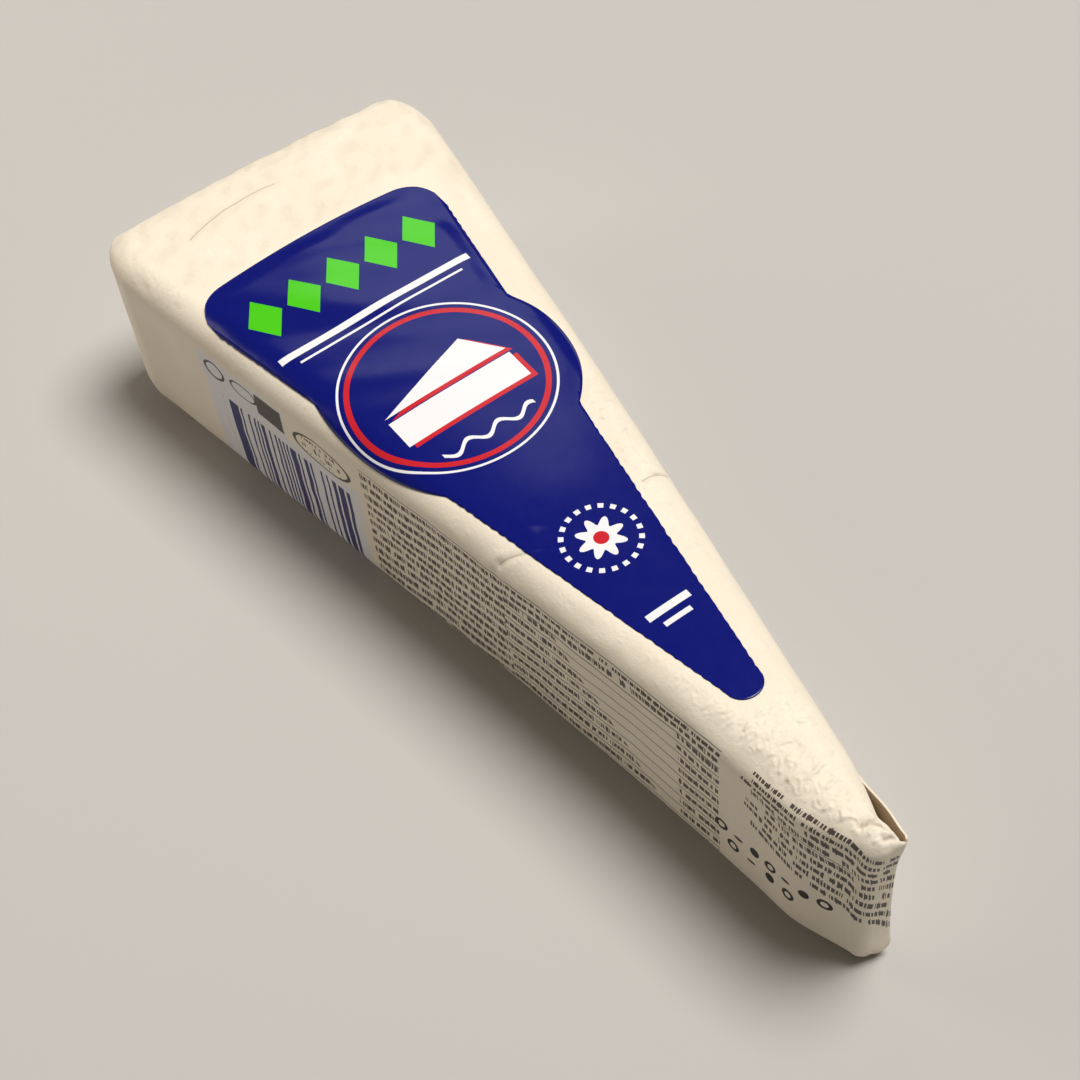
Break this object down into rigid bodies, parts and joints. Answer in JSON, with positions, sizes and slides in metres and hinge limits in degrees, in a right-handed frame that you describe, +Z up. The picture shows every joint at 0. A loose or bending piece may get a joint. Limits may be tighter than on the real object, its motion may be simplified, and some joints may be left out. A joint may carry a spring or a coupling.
{
  "type": "paper-wrapped cheese wedge",
  "caption": "Wedge of soft white cheese shut in folded cream paper, with a blue film label on its top face and printed side panels.",
  "frame": {"origin": "on the table under the middle of the pack's box", "axes": "+X from the rind end to the tip, +Z up, -Y towards the side with the bar code panel"},
  "size_m": [0.1645, 0.0598, 0.0348],
  "materials": {
    "wrapping_paper": "matt, softly creased",
    "label_film": "gloss, printed"
  },
  "bodies": {
    "root": {"wrapped_wedge": "wrapping_paper", "top_label": "label_film"}
  },
  "joints": []
}
